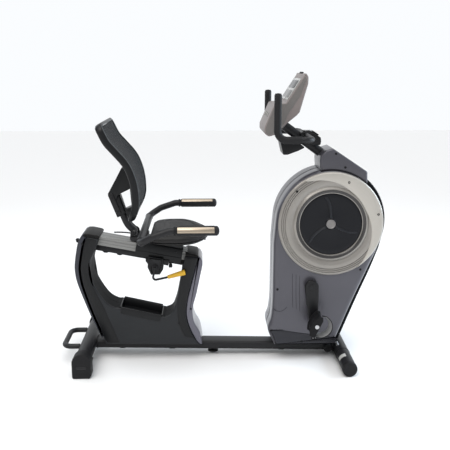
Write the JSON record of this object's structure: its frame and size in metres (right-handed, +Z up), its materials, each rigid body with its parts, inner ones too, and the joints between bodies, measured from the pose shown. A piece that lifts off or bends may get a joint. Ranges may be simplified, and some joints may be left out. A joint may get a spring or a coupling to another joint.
{
  "type": "recumbent exercise bike",
  "caption": "Recumbent exercise bike: sliding seat on an inclined rail, reclining mesh back, covered flywheel drive with pedals, console on a mast and a low welded base",
  "frame": {"origin": "on the floor, under the middle of the bounding box", "axes": "+X towards the pedals and the console, +Y to the rider's left, +Z up"},
  "size_m": [1.4953, 0.67, 1.316],
  "materials": {
    "black_powder_coat": "satin",
    "black_plastic": "satin",
    "dark_cap_plastic": "fine grain",
    "grey_trim_plastic": "metallic paint",
    "black_rubber": "matt",
    "rail_aluminium": "brushed",
    "zinc_steel": "zinc plated",
    "cast_iron": "machined",
    "metallic_grey": "metallic paint",
    "silver_champagne": "metallic paint",
    "smoked_window": "smoked, glossy",
    "crank_black": "satin",
    "pedal_plastic": "fine grain",
    "grey_strap": "matt",
    "black_vinyl": "vinyl over foam",
    "seat_pan_plastic": "fine grain",
    "mesh_fabric": "open weave",
    "foam_grip": "soft foam",
    "yellow_grip": "satin",
    "warm_grey_plastic": "fine grain",
    "console_glass": "glossy",
    "key_rubber": "matt"
  },
  "bodies": {
    "frame": {"main_beam": "black_powder_coat", "rear_stabiliser": "black_powder_coat", "front_stabiliser": "black_powder_coat", "rear_foot_right": "black_rubber", "rear_foot_left": "black_rubber", "front_cap_right": "black_rubber", "front_cap_left": "black_rubber", "lift_handle": "black_powder_coat", "levelling_foot": "black_rubber", "seat_frame": "black_powder_coat", "seat_rail": "rail_aluminium", "rear_cover_right": "black_plastic", "rear_cover_left": "black_plastic", "rear_trim": "grey_trim_plastic", "front_trim": "grey_trim_plastic", "rear_top_cap": "dark_cap_plastic", "front_top_cap": "dark_cap_plastic", "storage_tray": "black_plastic", "drive_belt": "black_rubber", "pod_band": "black_plastic", "pod_cover_right": "metallic_grey", "pod_cover_left": "metallic_grey", "ring_cover_right": "silver_champagne", "ring_cover_left": "silver_champagne", "window_right": "smoked_window", "window_left": "smoked_window", "pod_frame": "black_powder_coat", "mast": "black_powder_coat", "neck_cover": "metallic_grey", "console_handlebar": "black_powder_coat", "console_grip_right": "foam_grip", "console_grip_left": "foam_grip", "accessory_tray": "black_plastic", "console_housing": "warm_grey_plastic", "console_screen": "console_glass"},
    "crank": {"crank_axle": "zinc_steel", "crank_arm_right": "crank_black", "crank_arm_left": "crank_black"},
    "pedal_right": {"pedal_right": "pedal_plastic", "pedal_strap_right": "grey_strap"},
    "pedal_left": {"pedal_left": "pedal_plastic", "pedal_strap_left": "grey_strap"},
    "flywheel": {"flywheel": "cast_iron"},
    "seat": {"seat_carriage": "black_plastic", "seat_pan": "seat_pan_plastic", "seat_cushion": "black_vinyl", "seat_handlebar": "black_powder_coat", "seat_grip_right": "foam_grip", "seat_grip_left": "foam_grip"},
    "backrest": {"backrest_post": "black_powder_coat", "backrest_bracket": "black_plastic", "backrest_frame": "black_plastic", "backrest_mesh": "mesh_fabric"},
    "lever": {"release_lever": "black_powder_coat", "lever_grip": "yellow_grip"},
    "wheel_right": {"transport_wheel_right": "black_rubber"},
    "wheel_left": {"transport_wheel_left": "black_rubber"},
    "key_1": {"console_key_1": "key_rubber"},
    "key_2": {"console_key_2": "key_rubber"},
    "key_3": {"console_key_3": "key_rubber"}
  },
  "joints": [
    {"name": "seat_slide", "type": "slide", "parent": "frame", "child": "seat", "axis": [0.9823, 0, -0.1874], "range_m": [-0.13, 0]},
    {"name": "backrest_recline", "type": "hinge", "parent": "seat", "child": "backrest", "pos_m": [-0.4045, 0, 0.6], "axis": [0, -1, 0], "range_deg": [0, 12]},
    {"name": "lever_pull", "type": "hinge", "parent": "seat", "child": "lever", "pos_m": [-0.3115, -0.094, 0.451], "axis": [0, -1, 0], "range_deg": [0, 18], "stiffness_Nm_per_rad": 4, "springref_deg": -11.46},
    {"name": "crank_spin", "type": "hinge", "parent": "frame", "child": "crank", "pos_m": [0.3985, 0, 0.365], "axis": [0, 1, 0], "continuous": true},
    {"name": "pedal_right_spin", "type": "hinge", "parent": "crank", "child": "pedal_right", "pos_m": [0.40896, -0.205, 0.21537], "axis": [0, 1, 0], "continuous": true},
    {"name": "pedal_left_spin", "type": "hinge", "parent": "crank", "child": "pedal_left", "pos_m": [0.38804, 0.205, 0.51463], "axis": [0, 1, 0], "continuous": true},
    {"name": "flywheel_spin", "type": "hinge", "parent": "frame", "child": "flywheel", "pos_m": [0.4805, 0, 0.65], "axis": [0, 1, 0], "continuous": true},
    {"name": "wheel_right_roll", "type": "hinge", "parent": "frame", "child": "wheel_right", "pos_m": [0.494, -0.05, 0.036], "axis": [0, 1, 0], "continuous": true},
    {"name": "wheel_left_roll", "type": "hinge", "parent": "frame", "child": "wheel_left", "pos_m": [0.494, 0.05, 0.036], "axis": [0, 1, 0], "continuous": true},
    {"name": "key_1_press", "type": "slide", "parent": "frame", "child": "key_1", "axis": [0.9191, 0, -0.3939], "range_m": [0, 0.0012], "stiffness_N_per_m": 500, "springref_m": -0.001},
    {"name": "key_2_press", "type": "slide", "parent": "frame", "child": "key_2", "axis": [0.9191, 0, -0.3939], "range_m": [0, 0.0012], "stiffness_N_per_m": 500, "springref_m": -0.001},
    {"name": "key_3_press", "type": "slide", "parent": "frame", "child": "key_3", "axis": [0.9191, 0, -0.3939], "range_m": [0, 0.0012], "stiffness_N_per_m": 500, "springref_m": -0.001}
  ],
  "couplings": [
    {"joint": "flywheel_spin", "follows": "crank_spin", "ratio": 6}
  ]
}
